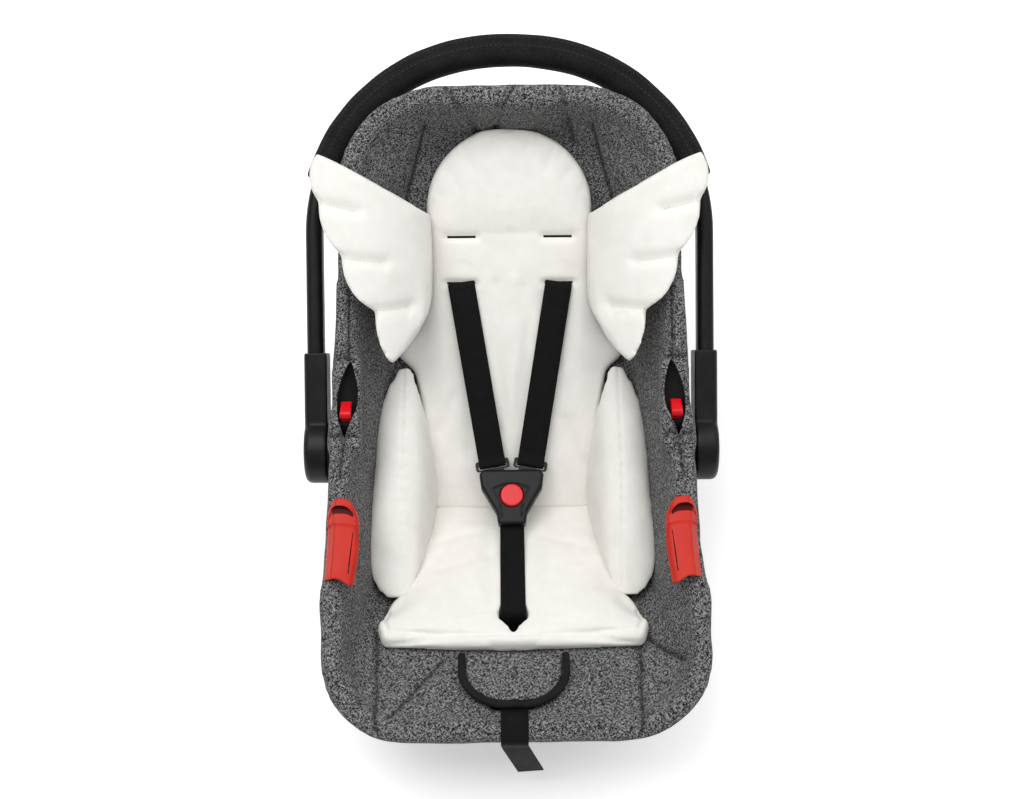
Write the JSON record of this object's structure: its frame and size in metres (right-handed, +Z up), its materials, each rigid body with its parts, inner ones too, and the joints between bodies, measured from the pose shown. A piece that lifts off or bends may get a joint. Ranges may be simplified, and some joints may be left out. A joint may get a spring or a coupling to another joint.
{
  "type": "infant car seat",
  "caption": "Rear-facing infant carrier: padded bucket with a reducer insert, buckled harness, lap belt guides and a folding carrying handle on lockable hubs.",
  "frame": {"origin": "on the floor, below the middle of the overall box", "axes": "+Z up from the floor, +Y towards the head end, +X to the right seen from the foot end"},
  "size_m": [0.445, 0.705, 0.4189],
  "materials": {
    "shell_plastic": "fine moulded texture",
    "cover_fabric": "grey melange weave",
    "insert_fabric": "soft off-white jersey",
    "webbing": "woven, black",
    "binding_tape": "ribbed tape, black",
    "sleeve_fabric": "stitched, black",
    "black_plastic": "satin, black",
    "handle_plastic": "satin, black",
    "red_plastic": "gloss, red",
    "guide_plastic": "satin, orange red",
    "gear_plastic": "glass-filled, natural",
    "steel": "zinc plated"
  },
  "bodies": {
    "base": {"shell": "shell_plastic", "rocker_runner_left": "shell_plastic", "rocker_runner_right": "shell_plastic", "runner_screws": "steel", "rear_belt_guide": "shell_plastic", "seat_cover": "cover_fabric", "insert_back": "insert_fabric", "insert_seat": "insert_fabric", "insert_bolster_left": "insert_fabric", "insert_bolster_right": "insert_fabric", "insert_wing_left": "insert_fabric", "insert_wing_right": "insert_fabric", "harness_strap_left": "webbing", "harness_strap_right": "webbing", "crotch_strap": "webbing", "adjuster_strap": "webbing", "crotch_anchor": "steel", "harness_yoke": "steel", "buckle_front": "black_plastic", "buckle_back": "black_plastic", "buckle_spring": "steel", "buckle_screws": "steel", "adjuster_housing": "steel", "adjuster_pin": "steel", "adjuster_spring": "steel", "adjuster_screws": "steel", "hub_plate_left": "handle_plastic", "hub_plate_right": "handle_plastic", "hub_screws": "steel", "pivot_bolt_left": "steel", "pivot_bolt_right": "steel", "belt_guide_left": "guide_plastic", "belt_guide_right": "guide_plastic", "guide_screws": "steel"},
    "handle": {"handle_bow": "handle_plastic", "grip_sleeve": "sleeve_fabric", "handle_socket_left": "handle_plastic", "handle_socket_right": "handle_plastic", "socket_screws": "steel", "lock_spring_left": "steel", "lock_spring_right": "steel"},
    "lock_gear_left": {"lock_gear_left": "gear_plastic"},
    "lock_gear_right": {"lock_gear_right": "gear_plastic"},
    "release_button_left": {"release_button_left": "red_plastic"},
    "release_button_right": {"release_button_right": "red_plastic"},
    "buckle_button": {"buckle_button": "red_plastic"},
    "buckle_tongue_left": {"buckle_tongue_left": "black_plastic"},
    "buckle_tongue_right": {"buckle_tongue_right": "black_plastic"},
    "adjuster_lever": {"adjuster_lever": "steel"},
    "cover_flap": {"cover_flap": "cover_fabric", "flap_binding": "binding_tape"}
  },
  "joints": [
    {"name": "handle_fold", "type": "hinge", "parent": "base", "child": "handle", "pos_m": [0, -0.03067, 0.172], "axis": [1, 0, 0], "range_deg": [-50, 58], "deforming": ["insert_wing_left", "insert_wing_right"]},
    {"name": "release_button_left_press", "type": "slide", "parent": "base", "child": "release_button_left", "axis": [0, -0.3249, -0.9458], "range_m": [0, 0.006], "stiffness_N_per_m": 800},
    {"name": "lock_gear_left_slide", "type": "slide", "parent": "handle", "child": "lock_gear_left", "axis": [-1, 0, 0], "range_m": [0, 0.004], "deforming": ["lock_spring_left"]},
    {"name": "buckle_tongue_left_pull", "type": "slide", "parent": "base", "child": "buckle_tongue_left", "axis": [-0.1732, 0.9573, 0.2317], "range_m": [0, 0.013], "deforming": ["harness_strap_left"]},
    {"name": "release_button_right_press", "type": "slide", "parent": "base", "child": "release_button_right", "axis": [0, -0.3249, -0.9458], "range_m": [0, 0.006], "stiffness_N_per_m": 800},
    {"name": "lock_gear_right_slide", "type": "slide", "parent": "handle", "child": "lock_gear_right", "axis": [1, 0, 0], "range_m": [0, 0.004], "deforming": ["lock_spring_right"]},
    {"name": "buckle_tongue_right_pull", "type": "slide", "parent": "base", "child": "buckle_tongue_right", "axis": [0.1732, 0.9573, 0.2317], "range_m": [0, 0.013], "deforming": ["harness_strap_right"]},
    {"name": "buckle_button_press", "type": "slide", "parent": "base", "child": "buckle_button", "axis": [0, 0.2352, -0.9719], "range_m": [0, 0.004], "stiffness_N_per_m": 1500, "deforming": ["buckle_spring"]},
    {"name": "adjuster_lever_press", "type": "hinge", "parent": "base", "child": "adjuster_lever", "pos_m": [0, -0.27999, 0.13236], "axis": [1, 0, 0], "range_deg": [0, 10], "stiffness_Nm_per_rad": 1, "springref_deg": -5.73, "deforming": ["adjuster_spring"]},
    {"name": "cover_flap_lift", "type": "hinge", "parent": "base", "child": "cover_flap", "pos_m": [0, -0.25088, 0.12762], "axis": [-1, 0, 0], "range_deg": [0, 55]}
  ],
  "couplings": [
    {"joint": "lock_gear_left_slide", "follows": "release_button_left_press", "ratio": 0.66667},
    {"joint": "lock_gear_right_slide", "follows": "release_button_right_press", "ratio": 0.66667}
  ]
}
